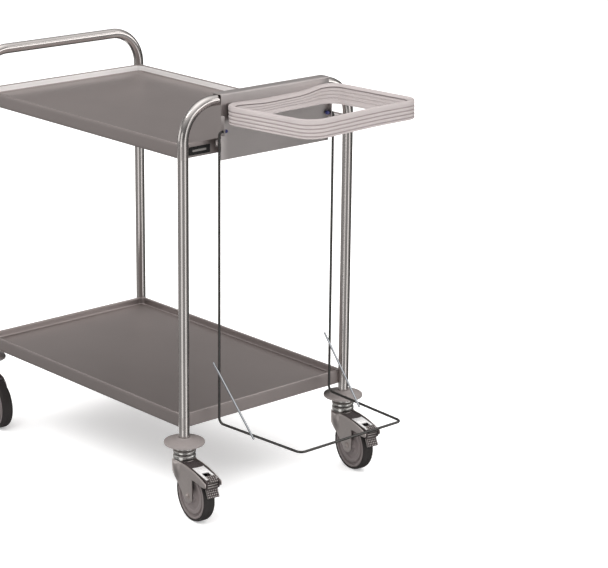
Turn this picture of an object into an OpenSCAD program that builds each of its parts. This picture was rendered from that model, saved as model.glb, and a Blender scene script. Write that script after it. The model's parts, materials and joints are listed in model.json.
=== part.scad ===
// Two-shelf ward trolley with a lift-off waste bag holder.
// Frame: +X points to the bag holder, +Y to the left, +Z up; the origin is on
// the floor under the middle of the overall box.

/* [Frame] */
// Distance between leg centre lines along the trolley
leg_span_x = 800; // [700:10:900]
// Distance between leg centre lines across the trolley
leg_span_y = 500; // [480:5:540]
// Height of the handle tube's centre line above the floor
handle_z = 963; // [950:1:990]
// Outside diameter of the frame tube
tube_d = 25; // [24:0.5:26]
// Wall thickness of the frame tube
tube_wall = 1.5; // [1:0.1:2.5]
// Centre-line radius of the handle bends
bend_r = 85; // [70:5:85]

/* [Shelves] */
// Underside of the lower shelf above the floor
lower_shelf_z = 204.5; // [200:0.5:215]
// Underside of the upper shelf above the floor
upper_shelf_z = 840; // [830:1:850]
// Height of the shelf rim
rim_h = 34.5; // [32:0.5:38]
// Thickness of the hollow rim between its two walls
rim_w = 6; // [5:0.5:8]
// Depth of the tray below the top of the rim
tray_depth = 17.5; // [15:0.5:19]
// Thickness of the shelf sheet
shelf_t = 1.2; // [1:0.1:1.5]
// Gap from a leg's centre line back to the shelf's end face
shelf_inset = 6.7; // [6:0.1:8]

/* [Casters] */
// Wheel diameter over the tyre
wheel_d = 125; // [120:1:126]
// Tyre width
tyre_w = 30; // [26:1:31]
// Distance from the swivel axis back to the axle
trail = 50; // [48:1:51]
// Direction in which the wheels trail at rest, from +X towards +Y
trail_angle = -8; // [-30:1:30]
// Diameter of the bumper discs
bumper_d = 95; // [90:1:100]

/* [Bag holder] */
// Sideways offset of the bag holder from the trolley's middle
holder_y = 11; // [0:1:12]
// Width of the hook plate
plate_w = 326; // [320:1:330]
// Lower edge of the hook plate above the floor
plate_low_z = 824; // [820:1:830]
// Thickness of the hook plate
plate_t = 2; // [1.5:0.1:2.5]
// Length of the bag ring, away from the trolley
ring_len = 300; // [280:5:320]
// Width of the bag ring
ring_w = 336; // [330:1:338]
// Height of the bag ring's outer wall
ring_h = 43; // [40:1:46]
// Upward tilt of the bag ring
ring_tilt = 2.6; // [1:0.1:3]
// Height of the bag ring's underside at the plate
ring_low_z = 917.5; // [915:0.5:920]

/* [Bag support] */
// Diameter of the support wire
wire_d = 6; // [5:0.5:6]
// Height of the swing pivot above the floor
pivot_z = 894; // [890:1:896]
// Height of the bottom loop above the floor
loop_z = 205.5; // [200:0.5:215]
// Reach of the bottom loop from the pivot axis
loop_reach = 265; // [240:5:280]
// Distance between the two upright wires
wire_span = 346; // [345:1:350]
// Width of the bottom loop at its outer end
loop_front_w = 315; // [300:1:320]
// Diameter of the two diagonal braces
brace_d = 5; // [4:0.5:5]

/* [Hidden] */
$fn = 96;

// Clearances
fit_gap = 0.05;    // radial clearance of a shaft that turns in its bore
part_gap = 0.3;    // gap between pieces that move past each other
seat_gap = 0.1;    // radial gap of a plugged-in piece

// Frame
tube_r = tube_d / 2;
half_y = leg_span_y / 2;
leg_foot_z = 172;

// Shelf
shelf_len = leg_span_x - 2 * shelf_inset;
tray_corner_r = 14;
hem_w = 12;
stiffener_len = 700;
stiffener_w = 60;
stiffener_h = 12;

// Badge on the front face of the upper shelf
badge_size = [1.2, 62, 19];
badge_y = -198;
badge_z = 855;

// Caster heights above the floor
wheel_r = wheel_d / 2;
axle_z = wheel_r;
crown_low_z = 129;
crown_top_z = 135;
head_low_z = 140.2;
head_top_z = 163;
bumper_low_z = 166;
bumper_rim_z = 175;
bumper_rim_r = 5;
bumper_top_z = 187.5;

// Caster radii and widths
kingpin_r = 6;
crown_r = 26.5;
crown_wall = 2.5;
crown_skirt_z = 108;
cheek_in = 17.5;
cheek_t = 2.5;
cheek_out = cheek_in + cheek_t;
cheek_end_r = 18;
wheel_clear_r = wheel_r + 3;
axle_r = 6;
bolt_r = 4;
hub_half = 16.5;
bearing_r = 11;
bearing_w = 8;
tyre_bed_r = wheel_r - 6;
shoulder_r = 6;
ball_r = 2.5;
ball_count = 12;
ball_ring_r = 20;

// Brake pedal, in the fork's own plane: [distance behind the swivel axis, height]
pedal_pivot = [95, 118];
pedal_pin_r = 3;
pedal_slope = 8;
pedal_sheet = 2.5;
pedal_ear_out = cheek_in - part_gap;
tread_half = 15;

// Bag holder
plate_back_x = tube_r + part_gap;
plate_face_x = plate_back_x + plate_t;
plate_top_z = handle_z + tube_r + part_gap + plate_t;
lip_drop = 20;
ring_corner_r = 45;
ring_wall = 16;
ring_hole_corner_r = 40;
ring_back_x = plate_face_x + ring_h * sin(ring_tilt) + seat_gap;
core_r = 4;
core_inset = 8;
core_z = 16;
core_corner_r = ring_corner_r - core_inset;
arm_span = 180;
buffer_r = 8;
buffer_span = 220;
buffer_z = 857;

// Bag support
wire_r = wire_d / 2;
brace_r = brace_d / 2;
stop_t = 2;
stop_r = 5;
stop_z = 868;
stop_tab_h = 16;
pivot_x = plate_face_x + stop_t + part_gap + wire_r;
pivot_bore_r = wire_r + fit_gap;
ear_size = [14, 46];
wire_half = wire_span / 2;
pivot_bend_r = 8;
foot_bend_r = 14;
front_bend_r = 15;
bend_swell = 0.02;
run_in = 0.3;
cap_r = 4.5;
cap_len = 8;
wire_end_y = plate_w / 2 - plate_t - cap_len - 2;
loop_taper = atan((wire_half - loop_front_w / 2) / loop_reach);
brace_top = [6, 351];
brace_foot = [141, 199.3];

// Row frame: the front legs stand at front_x and the rear legs at rear_x
overall_front = ring_back_x + ring_len * cos(ring_tilt);
front_x = (leg_span_x + bumper_d / 2 - overall_front) / 2;
rear_x = front_x - leg_span_x;
FRONT_RIGHT = [front_x, -half_y];
FRONT_LEFT = [front_x, half_y];
REAR_RIGHT = [rear_x, -half_y];
REAR_LEFT = [rear_x, half_y];

// ---------------------------------------------------------------- helpers

// Rounded rectangle from low corner a to high corner b
module rounded_rect(a, b, r) {
    translate([a[0] + r, a[1]]) square([b[0] - a[0] - 2 * r, b[1] - a[1]]);
    translate([a[0], a[1] + r]) square([b[0] - a[0], b[1] - a[1] - 2 * r]);
    for (x = [a[0] + r, b[0] - r], y = [a[1] + r, b[1] - r])
        translate([x, y]) circle(r);
}

// Bent round bar about Z, from +X through angle
module bar_arc(bend, r, angle) {
    rotate_extrude(angle = angle) translate([bend, 0]) circle(r, $fn = 48);
}

// Straight round bar between two points
module bar(p, q, r) {
    d = q - p;
    translate(p) rotate([0, acos(d[2] / norm(d)), atan2(d[1], d[0])])
        cylinder(h = norm(d), r = r, $fn = 48);
}

// Extrudes a [X, Z] outline along Y, centred on y
module across(y, width) {
    translate([0, y, 0]) rotate([90, 0, 0])
        linear_extrude(height = width, center = true) children();
}

// Places a caster piece under the leg at corner, trailing at trail_angle
module at_corner(corner) {
    translate([corner[0], corner[1], 0]) rotate([0, 0, trail_angle]) children();
}

// ---------------------------------------------------------------- frame

module frame_bar(r, foot_z) {
    for (s = [-1, 1]) {
        translate([0, s * half_y, foot_z]) cylinder(h = handle_z - bend_r - foot_z, r = r);
        translate([0, s * (half_y - bend_r), handle_z - bend_r])
            rotate([90, 0, s * 90]) bar_arc(bend_r, r, 90);
    }
    translate([0, bend_r - half_y, handle_z]) rotate([-90, 0, 0])
        cylinder(h = leg_span_y - 2 * bend_r, r = r);
}

module end_frame(x) {
    color("silver") translate([x, 0, 0]) difference() {
        frame_bar(tube_r, leg_foot_z);
        frame_bar(tube_r - tube_wall, leg_foot_z - 1);
    }
}

// ---------------------------------------------------------------- shelves

module shelf_block(inset, low, high, r) {
    x0 = rear_x + shelf_inset + inset;
    x1 = front_x - shelf_inset - inset;
    translate([0, 0, low]) linear_extrude(height = high - low)
        if (r > 0) rounded_rect([x0, inset - half_y], [x1, half_y - inset], r);
        else translate([x0, inset - half_y]) square([x1 - x0, leg_span_y - 2 * inset]);
}

module shelf(z) {
    pan_z = rim_h - tray_depth;
    color("lightgray") translate([0, 0, z]) difference() {
        shelf_block(0, 0, rim_h, 0);
        // the tray
        shelf_block(rim_w, pan_z, rim_h + 1, tray_corner_r);
        // under the tray, above the returned hem
        shelf_block(shelf_t, shelf_t, pan_z - shelf_t, tray_corner_r);
        shelf_block(hem_w, -1, pan_z - shelf_t, tray_corner_r);
        // inside the hollow rim
        difference() {
            shelf_block(shelf_t, shelf_t, rim_h - shelf_t, tray_corner_r);
            shelf_block(rim_w - shelf_t, 0, rim_h, tray_corner_r);
        }
        // notches for the legs
        for (x = [rear_x, front_x], y = [-half_y, half_y])
            translate([x, y, -1]) cylinder(h = rim_h + 2, r = tube_r + seat_gap);
    }
}

module stiffener(z) {
    mid_x = (front_x + rear_x) / 2;
    top_z = z + rim_h - tray_depth - shelf_t;
    color("gray") translate([mid_x, 0, top_z]) rotate([90, 0, 90])
        linear_extrude(height = stiffener_len, center = true) difference() {
            translate([-stiffener_w / 2, -stiffener_h]) square([stiffener_w, stiffener_h]);
            translate([shelf_t - stiffener_w / 2, shelf_t - stiffener_h])
                square([stiffener_w - 2 * shelf_t, stiffener_h]);
        }
}

module badge() {
    color("black")
        translate([front_x - shelf_inset, badge_y - badge_size[1] / 2, badge_z - badge_size[2] / 2])
            cube(badge_size);
}

// ---------------------------------------------------------------- casters

module bumper() {
    floor_t = 5.8;
    rim_in = bumper_d / 2 - bumper_rim_r;
    color("darkgray") rotate_extrude() {
        polygon([
            [kingpin_r + 3.2, bumper_low_z], [22, bumper_low_z], [22, leg_foot_z],
            [rim_in - 5, leg_foot_z], [rim_in, bumper_rim_z - bumper_rim_r],
            [rim_in, bumper_rim_z + bumper_rim_r], [30, bumper_top_z - 3],
            [18, bumper_top_z], [tube_r + seat_gap, bumper_top_z],
            [tube_r + seat_gap, bumper_low_z + floor_t],
            [kingpin_r + 3.2, bumper_low_z + floor_t]
        ]);
        translate([rim_in, bumper_rim_z]) circle(bumper_rim_r);
    }
}

// Kingpin, collar and expander plug, fixed in the leg
module stem() {
    plug_len = 50;
    color("dimgray") {
        translate([0, 0, 122]) cylinder(h = crown_low_z - part_gap - 122, r = 10);
        translate([0, 0, 122]) cylinder(h = head_top_z - 122, r = kingpin_r);
        translate([0, 0, head_top_z]) cylinder(h = bumper_low_z - head_top_z, r = 16);
        translate([0, 0, bumper_low_z]) cylinder(h = leg_foot_z - bumper_low_z + 1, r = 9);
        translate([0, 0, leg_foot_z + 0.5]) difference() {
            cylinder(h = plug_len, r = tube_r - tube_wall - seat_gap);
            for (a = [0, 90]) rotate([0, 0, a])
                translate([-15, -0.75, 12]) cube([30, 1.5, plug_len]);
        }
    }
}

// Fixed race cup with two rings and a skirt over the balls
module swivel_head() {
    color("gainsboro") rotate_extrude() polygon([
        [kingpin_r, head_low_z], [24.3, head_low_z], [24.3, crown_top_z + 0.6],
        [26, crown_top_z + 0.6], [26.5, 141], [26.5, 146], [25.5, 147.5],
        [23.5, 148.5], [23.5, 150.5], [26, 151.2], [27, 152.5], [27, 156],
        [25.5, 158], [20, 158], [20, head_top_z], [kingpin_r, head_top_z]
    ]);
}

module swivel_balls() {
    color("white") for (i = [0:ball_count - 1]) rotate([0, 0, i * 360 / ball_count])
        translate([ball_ring_r, 0, crown_top_z + ball_r + 0.05]) sphere(ball_r, $fn = 32);
}

// Side outline of a fork cheek, [distance behind the swivel axis, height]
module cheek_outline(braked) {
    polygon(braked
        ? [[-16, 134], [-16, 109], [0, 89], [12, 77.5], [26, 67], [trail - 15, axle_z - 10],
           [trail, axle_z], [trail + cheek_end_r, axle_z], [68, 103], [71, 107.5], [82, 108],
           [112, 104.5], [124, 106], [128, 110.5], [127, 116.5], [102, 124.8], [75, 130.6],
           [56, 133], [40, 134.4], [21, 134.8]]
        : [[-16, 134], [-16, 109], [0, 89], [12, 77.5], [26, 67], [trail - 15, axle_z - 10],
           [trail, axle_z], [trail + cheek_end_r, axle_z], [68, 100], [62, 116],
           [48, 128], [21, 134]]);
    translate([trail, axle_z]) circle(cheek_end_r);
}

module fork(braked) {
    pin_hole = [pedal_pivot[0], 0, pedal_pivot[1]];
    color("darkgray") difference() {
        union() {
            translate([0, 0, crown_skirt_z])
                cylinder(h = crown_top_z - crown_skirt_z, r = crown_r);
            across(0, 2 * cheek_out) cheek_outline(braked);
        }
        // kingpin bore and the hollow under the crown
        translate([0, 0, 100]) cylinder(h = 50, r = kingpin_r + fit_gap);
        translate([0, 0, 50]) cylinder(h = crown_low_z - 50, r = crown_r - crown_wall);
        // room for the wheel
        translate([trail, 0, axle_z]) rotate([90, 0, 0])
            cylinder(h = 2 * cheek_in, r = wheel_clear_r, center = true);
        // open back between the arms, and open front below the crown
        translate([56, -cheek_in, 30]) cube([100, 2 * cheek_in, 120]);
        translate([-40, -cheek_in, 30]) cube([60, 2 * cheek_in, 70]);
        // holes for the axle and the pedal pin
        translate([trail, 0, axle_z]) rotate([90, 0, 0])
            cylinder(h = 60, r = bolt_r + seat_gap, center = true);
        if (braked) translate(pin_hole) rotate([90, 0, 0])
            cylinder(h = 60, r = pedal_pin_r, center = true);
    }
}

module axle() {
    nut_h = 6;
    nut_r = 7.5;
    sleeve = 2 * cheek_in - 0.1;
    color("silver") translate([trail, 0, axle_z]) rotate([90, 0, 0]) {
        cylinder(h = sleeve, r = axle_r, center = true);
        cylinder(h = 2 * (cheek_out + nut_h), r = bolt_r, center = true);
        for (s = [-1, 1]) translate([0, 0, s * (cheek_out + nut_h / 2 + 0.05)])
            cylinder(h = nut_h, r = nut_r, center = true, $fn = 6);
    }
}

module wheel() {
    web = 9;
    rim_half = 13.5;
    color("gray") translate([trail, 0, axle_z]) rotate([90, 0, 0]) rotate_extrude() polygon([
        [bearing_r, -hub_half], [16, -hub_half], [18, -web], [32, -web], [36, -rim_half + 1],
        [45, -rim_half], [46, -rim_half + 3], [49, -rim_half + 3], [50, -rim_half],
        [tyre_bed_r, -rim_half], [tyre_bed_r, rim_half], [50, rim_half], [49, rim_half - 3],
        [46, rim_half - 3], [45, rim_half], [36, rim_half - 1], [32, web], [18, web],
        [16, hub_half], [bearing_r, hub_half]
    ]);
}

module tyre() {
    flat = tyre_w / 2 - shoulder_r;
    color("dimgray") translate([trail, 0, axle_z]) rotate([90, 0, 0]) rotate_extrude()
        difference() {
            union() {
                translate([tyre_bed_r, -flat]) square([shoulder_r, 2 * flat]);
                for (s = [-1, 1]) translate([tyre_bed_r, s * flat]) circle(shoulder_r);
            }
            translate([0, -tyre_w]) square([tyre_bed_r, 2 * tyre_w]);
        }
}

module bearings() {
    color("silver") translate([trail, 0, axle_z]) rotate([90, 0, 0])
        for (s = [-1, 1]) translate([0, 0, s * (hub_half - bearing_w / 2)]) difference() {
            cylinder(h = bearing_w, r = bearing_r - 0.02, center = true);
            cylinder(h = bearing_w + 2, r = axle_r + fit_gap, center = true);
        }
}

// ---------------------------------------------------------------- brake pedal

// Sheet strip or pad in the fork's plane: from p, along angle
module pad(p, angle, length, thick) {
    translate(p) rotate(angle) translate([0, -thick]) square([length, thick]);
}

module brake_pedal() {
    deck = [58, 133.2];
    deck_length = 65;
    window = [20, 18];
    rib = 1;
    color("whitesmoke") difference() {
        union() {
            // deck, downturned at the treads
            across(0, 2 * pedal_ear_out) pad(deck, -pedal_slope, deck_length, pedal_sheet);
            // ears on the pivot pin
            for (s = [-1, 1]) across(s * (pedal_ear_out - pedal_sheet / 2), pedal_sheet)
                polygon([[80, 128], [80, 122], [90, 113.5], [104, 108], [122, 100],
                         [127, 104], [127, 121], [121, 123]]);
            // spine between the treads
            across(0, 2 * tread_half) pad([118.5, 122], -86, 24, 3);
            // upper and lower treads with cross ribs
            across(0, 2 * tread_half - 4) pad([118, 131], -38, 19, 6);
            across(0, 2 * tread_half) pad([120.5, 99], -62, 21, 5);
            for (i = [0:3]) {
                across(0, 2 * tread_half - 4)
                    pad([118.6 + 4.1 * i, 132.4 - 3.2 * i], -38, 2, rib + 1);
                across(0, 2 * tread_half)
                    pad([121.9 + 2.2 * i, 98.4 - 4.3 * i], -62, 2.2, rib + 1);
            }
        }
        // window in the deck
        translate([90, -window[1] / 2, 110]) cube([window[0], window[1], 25]);
        translate([pedal_pivot[0], 0, pedal_pivot[1]]) rotate([90, 0, 0])
            cylinder(h = 60, r = pedal_pin_r + fit_gap, center = true);
    }
}

module pedal_pin() {
    head = 1.5;
    color("silver") translate([pedal_pivot[0], 0, pedal_pivot[1]]) rotate([90, 0, 0]) {
        cylinder(h = 2 * cheek_out + 2 * head, r = pedal_pin_r, center = true);
        for (s = [-1, 1]) translate([0, 0, s * (cheek_out + head / 2)])
            cylinder(h = head, r = pedal_pin_r + 1.5, center = true);
    }
}

// ---------------------------------------------------------------- bag holder

module hook_plate() {
    outer = plate_face_x;
    inner = plate_back_x;
    color("lightsteelblue") translate([front_x, holder_y, 0]) difference() {
        union() {
            // face, top flange and back lip, in one bent sheet
            across(0, plate_w) difference() {
                rounded_rect([-outer, plate_low_z], [outer, plate_top_z], 3);
                rounded_rect([-inner, plate_low_z - 9], [inner, plate_top_z - plate_t], 1);
                translate([-outer - 1, plate_low_z - 1])
                    square([outer, plate_top_z - lip_drop - plate_low_z + 1]);
                translate([-outer, plate_low_z - 1]) square([2 * outer, 4]);
            }
            // forward ears that carry the support wire
            for (s = [-1, 1]) across(s * (plate_w - plate_t) / 2, plate_t)
                rounded_rect([inner, pivot_z - 10],
                             [inner + ear_size[0], pivot_z - 10 + ear_size[1]], 0.9);
            // tabs behind the upright wires
            for (s = [-1, 1])
                translate([inner, s * (wire_half - 6) - 11, stop_z - stop_tab_h / 2])
                    cube([plate_t, 22, stop_tab_h]);
        }
        translate([pivot_x, 0, pivot_z]) rotate([90, 0, 0])
            cylinder(h = plate_w + 10, r = pivot_bore_r, center = true);
    }
}

module ring_place() {
    translate([front_x + ring_back_x, holder_y, ring_low_z]) rotate([0, -ring_tilt, 0])
        children();
}

// Rod loop and the two arms that are welded to the plate
module core_bar(r) {
    x0 = core_inset;
    x1 = ring_len - core_inset;
    y1 = ring_w / 2 - core_inset;
    c = core_corner_r;
    translate([0, 0, core_z]) {
        for (s = [-1, 1]) {
            bar([x0 + c, s * y1, 0], [x1 - c, s * y1, 0], r);
            bar([-2, s * arm_span / 2, 0], [x0, s * arm_span / 2, 0], r);
        }
        for (x = [x0, x1]) bar([x, c - y1, 0], [x, y1 - c, 0], r);
        translate([x1 - c, y1 - c, 0]) bar_arc(c, r, 90);
        translate([x0 + c, y1 - c, 0]) rotate([0, 0, 90]) bar_arc(c, r, 90);
        translate([x0 + c, c - y1, 0]) rotate([0, 0, 180]) bar_arc(c, r, 90);
        translate([x1 - c, c - y1, 0]) rotate([0, 0, 270]) bar_arc(c, r, 90);
    }
}

module ring_core() {
    color("silver") intersection() {
        ring_place() core_bar(core_r);
        translate([front_x + plate_face_x, -half_y, 0]) cube([400, leg_span_y, 1100]);
    }
}

module bag_ring() {
    w = ring_wall;
    color("gainsboro") ring_place() difference() {
        linear_extrude(height = ring_h) difference() {
            rounded_rect([0, -ring_w / 2], [ring_len, ring_w / 2], ring_corner_r);
            rounded_rect([w, w - ring_w / 2], [ring_len - w, ring_w / 2 - w],
                         ring_hole_corner_r);
        }
        core_bar(core_r);
    }
}

// Rubber buffers that space the plate off the upper shelf
module holder_buffers() {
    x0 = front_x - shelf_inset + part_gap;
    color("dimgray") for (s = [-1, 1])
        translate([x0, holder_y + s * buffer_span / 2, buffer_z]) rotate([0, 90, 0])
            cylinder(h = front_x + plate_back_x - x0, r = buffer_r);
}

module wire_stops() {
    color("dimgray") for (s = [-1, 1])
        translate([front_x + plate_face_x, holder_y + s * wire_half, stop_z])
            rotate([0, 90, 0]) cylinder(h = stop_t, r = stop_r);
}

// ---------------------------------------------------------------- bag support

// One side of the wire: pivot end, upright, foot bend, side of the loop. The bends are
// a hair thicker than the straights, which run a little way into them.
module wire_side() {
    tangent = front_bend_r * tan((90 - loop_taper) / 2);
    side_len = loop_reach / cos(loop_taper) - foot_bend_r - tangent;
    elbow_y = wire_half - pivot_bend_r;
    elbow_z = pivot_z - pivot_bend_r;
    // pivot end through the ear
    bar([0, wire_end_y, pivot_z], [0, elbow_y + run_in, pivot_z], wire_r);
    translate([0, elbow_y, elbow_z]) rotate([90, 0, 90])
        bar_arc(pivot_bend_r, wire_r + bend_swell, 90);
    // upright
    bar([0, wire_half, loop_z + foot_bend_r - run_in], [0, wire_half, elbow_z + run_in], wire_r);
    // foot bend and side, both turned in by the taper
    translate([0, wire_half, loop_z]) rotate([0, 0, -loop_taper]) {
        translate([foot_bend_r, 0, foot_bend_r]) rotate([90, 0, 0]) rotate([0, 0, 180])
            bar_arc(foot_bend_r, wire_r + bend_swell, 90);
        bar([foot_bend_r - run_in, 0, 0], [foot_bend_r + side_len + run_in, 0, 0], wire_r);
    }
    // outer corner
    translate([loop_reach - front_bend_r, loop_front_w / 2 - tangent, loop_z])
        bar_arc(front_bend_r, wire_r + bend_swell, 90 - loop_taper);
}

module support_wire() {
    bar_y = loop_front_w / 2 - front_bend_r * tan((90 - loop_taper) / 2) + run_in;
    color("dimgray") translate([front_x + pivot_x, holder_y, 0]) {
        wire_side();
        mirror([0, 1, 0]) wire_side();
        bar([loop_reach, -bar_y, loop_z], [loop_reach, bar_y, loop_z], wire_r);
    }
}

// Straight diagonal rod on the right-hand side of the upright at side s
module brace(s) {
    rod_gap = wire_r + brace_r;
    foot_x = brace_foot[0] - pivot_x;
    upright_y = s * wire_half - rod_gap;
    foot_y = s * (wire_half - foot_x * tan(loop_taper)) - rod_gap;
    slope = (foot_y - upright_y) / foot_x;
    top_y = upright_y + slope * (brace_top[0] - pivot_x);
    color("silver") translate([front_x, holder_y, 0])
        bar([brace_top[0], top_y, brace_top[1]],
            [brace_foot[0], foot_y, brace_foot[1]], brace_r);
}

module wire_caps() {
    color("midnightblue") translate([front_x + pivot_x, holder_y, pivot_z])
        for (s = [-1, 1]) rotate([-90 * s, 0, 0]) translate([0, 0, wire_end_y - 1.5]) difference() {
            cylinder(h = cap_len, r = cap_r);
            translate([0, 0, 1.5]) cylinder(h = cap_len, r = wire_r);
        }
}

// ---------------------------------------------------------------- assembly

end_frame(front_x);  // front_frame
end_frame(rear_x);  // rear_frame
shelf(upper_shelf_z);  // upper_shelf
shelf(lower_shelf_z);  // lower_shelf
stiffener(upper_shelf_z);  // upper_stiffener
stiffener(lower_shelf_z);  // lower_stiffener
badge();
at_corner(FRONT_RIGHT) bumper();  // front_right_bumper
at_corner(FRONT_LEFT) bumper();  // front_left_bumper
at_corner(REAR_RIGHT) bumper();  // rear_right_bumper
at_corner(REAR_LEFT) bumper();  // rear_left_bumper
at_corner(FRONT_RIGHT) stem();  // front_right_stem
at_corner(FRONT_LEFT) stem();  // front_left_stem
at_corner(REAR_RIGHT) stem();  // rear_right_stem
at_corner(REAR_LEFT) stem();  // rear_left_stem
at_corner(FRONT_RIGHT) swivel_head();  // front_right_swivel_head
at_corner(FRONT_LEFT) swivel_head();  // front_left_swivel_head
at_corner(REAR_RIGHT) swivel_head();  // rear_right_swivel_head
at_corner(REAR_LEFT) swivel_head();  // rear_left_swivel_head
at_corner(FRONT_RIGHT) swivel_balls();  // front_right_swivel_balls
at_corner(FRONT_LEFT) swivel_balls();  // front_left_swivel_balls
at_corner(REAR_RIGHT) swivel_balls();  // rear_right_swivel_balls
at_corner(REAR_LEFT) swivel_balls();  // rear_left_swivel_balls
at_corner(FRONT_RIGHT) fork(true);  // front_right_fork
at_corner(FRONT_LEFT) fork(true);  // front_left_fork
at_corner(REAR_RIGHT) fork(false);  // rear_right_fork
at_corner(REAR_LEFT) fork(false);  // rear_left_fork
at_corner(FRONT_RIGHT) axle();  // front_right_axle
at_corner(FRONT_LEFT) axle();  // front_left_axle
at_corner(REAR_RIGHT) axle();  // rear_right_axle
at_corner(REAR_LEFT) axle();  // rear_left_axle
at_corner(FRONT_RIGHT) wheel();  // front_right_wheel
at_corner(FRONT_LEFT) wheel();  // front_left_wheel
at_corner(REAR_RIGHT) wheel();  // rear_right_wheel
at_corner(REAR_LEFT) wheel();  // rear_left_wheel
at_corner(FRONT_RIGHT) tyre();  // front_right_tyre
at_corner(FRONT_LEFT) tyre();  // front_left_tyre
at_corner(REAR_RIGHT) tyre();  // rear_right_tyre
at_corner(REAR_LEFT) tyre();  // rear_left_tyre
at_corner(FRONT_RIGHT) bearings();  // front_right_bearings
at_corner(FRONT_LEFT) bearings();  // front_left_bearings
at_corner(REAR_RIGHT) bearings();  // rear_right_bearings
at_corner(REAR_LEFT) bearings();  // rear_left_bearings
at_corner(FRONT_RIGHT) brake_pedal();  // front_right_brake_pedal
at_corner(FRONT_LEFT) brake_pedal();  // front_left_brake_pedal
at_corner(FRONT_RIGHT) pedal_pin();  // front_right_pedal_pin
at_corner(FRONT_LEFT) pedal_pin();  // front_left_pedal_pin
hook_plate();
bag_ring();
ring_core();
holder_buffers();
wire_stops();
support_wire();
brace(-1);  // right_brace
brace(1);  // left_brace
wire_caps();
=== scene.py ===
import json
import math
import bpy
from mathutils import Matrix, Vector
from mathutils.geometry import delaunay_2d_cdt

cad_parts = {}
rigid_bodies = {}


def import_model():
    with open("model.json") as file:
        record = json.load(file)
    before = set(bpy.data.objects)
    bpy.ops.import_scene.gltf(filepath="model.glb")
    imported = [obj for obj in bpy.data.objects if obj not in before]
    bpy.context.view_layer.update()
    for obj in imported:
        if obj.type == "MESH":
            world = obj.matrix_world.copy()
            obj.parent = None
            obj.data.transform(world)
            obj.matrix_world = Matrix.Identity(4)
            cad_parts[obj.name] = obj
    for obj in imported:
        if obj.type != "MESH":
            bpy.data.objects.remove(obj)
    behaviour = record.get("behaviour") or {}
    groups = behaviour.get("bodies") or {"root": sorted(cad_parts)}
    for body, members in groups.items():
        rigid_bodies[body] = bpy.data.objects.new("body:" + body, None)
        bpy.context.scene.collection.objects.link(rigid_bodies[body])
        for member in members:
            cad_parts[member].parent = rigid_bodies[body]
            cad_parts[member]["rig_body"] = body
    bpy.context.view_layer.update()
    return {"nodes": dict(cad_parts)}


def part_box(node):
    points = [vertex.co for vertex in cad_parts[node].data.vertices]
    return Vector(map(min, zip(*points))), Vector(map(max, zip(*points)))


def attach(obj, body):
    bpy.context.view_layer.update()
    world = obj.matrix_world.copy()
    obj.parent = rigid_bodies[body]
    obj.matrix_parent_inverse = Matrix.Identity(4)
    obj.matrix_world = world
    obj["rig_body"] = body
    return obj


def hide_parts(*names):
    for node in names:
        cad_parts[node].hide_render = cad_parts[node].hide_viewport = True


# Two-shelf ward trolley with a waste bag holder. Lengths are in millimetres until build(),
# which turns them into metres. Places come from the CAD nodes' boxes.
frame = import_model()

MM = 0.001
CORNERS = ["front_right", "front_left", "rear_right", "rear_left"]
BRAKED = ["front_right", "front_left"]


# -------- places from the frame

def box(node):
    """Lowest and highest corner of a CAD node, in millimetres."""
    lo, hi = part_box(node)
    return lo / MM, hi / MM


front_lo, front_hi = box("front_frame")
rear_lo, rear_hi = box("rear_frame")
tube_r = (front_hi.x - front_lo.x) / 2
front_x = (front_hi.x + front_lo.x) / 2
rear_x = (rear_hi.x + rear_lo.x) / 2
half_y = front_hi.y - tube_r
handle_z = front_hi.z - tube_r
foot_z = front_lo.z
LEG = {
    "front_right": (front_x, -half_y),
    "front_left": (front_x, half_y),
    "rear_right": (rear_x, -half_y),
    "rear_left": (rear_x, half_y),
}
wheel_lo, wheel_hi = box("front_right_wheel")
wheel_mid = (wheel_lo + wheel_hi) / 2
trail_turn = math.atan2(wheel_mid.y + half_y, wheel_mid.x - front_x)
trail = math.hypot(wheel_mid.y + half_y, wheel_mid.x - front_x)
axle_z = wheel_mid.z
plate_lo, plate_hi = box("hook_plate")
ring_lo, ring_hi = box("bag_ring")
holder_y = (ring_lo.y + ring_hi.y) / 2
wire_lo = box("support_wire")[0]

# Sizes that the boxes don't give
bend_r = 85
rim_w = 6
tray_depth = 17.5
sheet_t = 1.2
hem_w = 12
notch_r = 12.6
tray_corner_r = 14
plate_w = 326
plate_t = 2
plate_gap = 0.3
lip_drop = 20
tab_y = 167
tab_half = 11
tab_low = 860
tab_high = 876
wire_r = 3
wire_gap = 0.3
wire_half = 173
pivot_x = tube_r + plate_gap + 2 * plate_t + wire_gap + wire_r
pivot_z = 894
pivot_hole_r = 3.1
pivot_tip_y = 151
loop_reach = 265
loop_front_w = 315
loop_z = wire_lo.z + wire_r
loop_taper = math.atan((wire_half - loop_front_w / 2) / loop_reach)
brace_r = 2.5
brace_top = (6, 351)  # ahead of the legs, and height
brace_foot = (141, 199.3)
ring_len = 300
ring_w = 336
ring_h = 43
ring_tilt = 2.6
ring_low_z = 917.5
ring_corner_r = 45


# -------- outlines

def fillet(points, steps=5, closed=True):
    """Polygon with its corners rounded. A point is (x, y), or (x, y, radius)."""
    out = []
    n = len(points)
    for i, point in enumerate(points):
        here = Vector(point[:2])
        r = point[2] if len(point) > 2 else 0
        if r == 0 or (not closed and i in (0, n - 1)):
            out.append(tuple(here))
            continue
        a = (Vector(points[i - 1][:2]) - here).normalized()
        b = (Vector(points[(i + 1) % n][:2]) - here).normalized()
        half = a.angle(b) / 2
        back = r / math.tan(half)
        centre = here + (a + b).normalized() * (r / math.sin(half))
        start = here + a * back - centre
        turn = start.angle_signed(here + b * back - centre)
        for k in range(steps + 1):
            angle = -turn * k / steps
            c, s = math.cos(angle), math.sin(angle)
            out.append((centre.x + start.x * c - start.y * s, centre.y + start.x * s + start.y * c))
    return out


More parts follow.
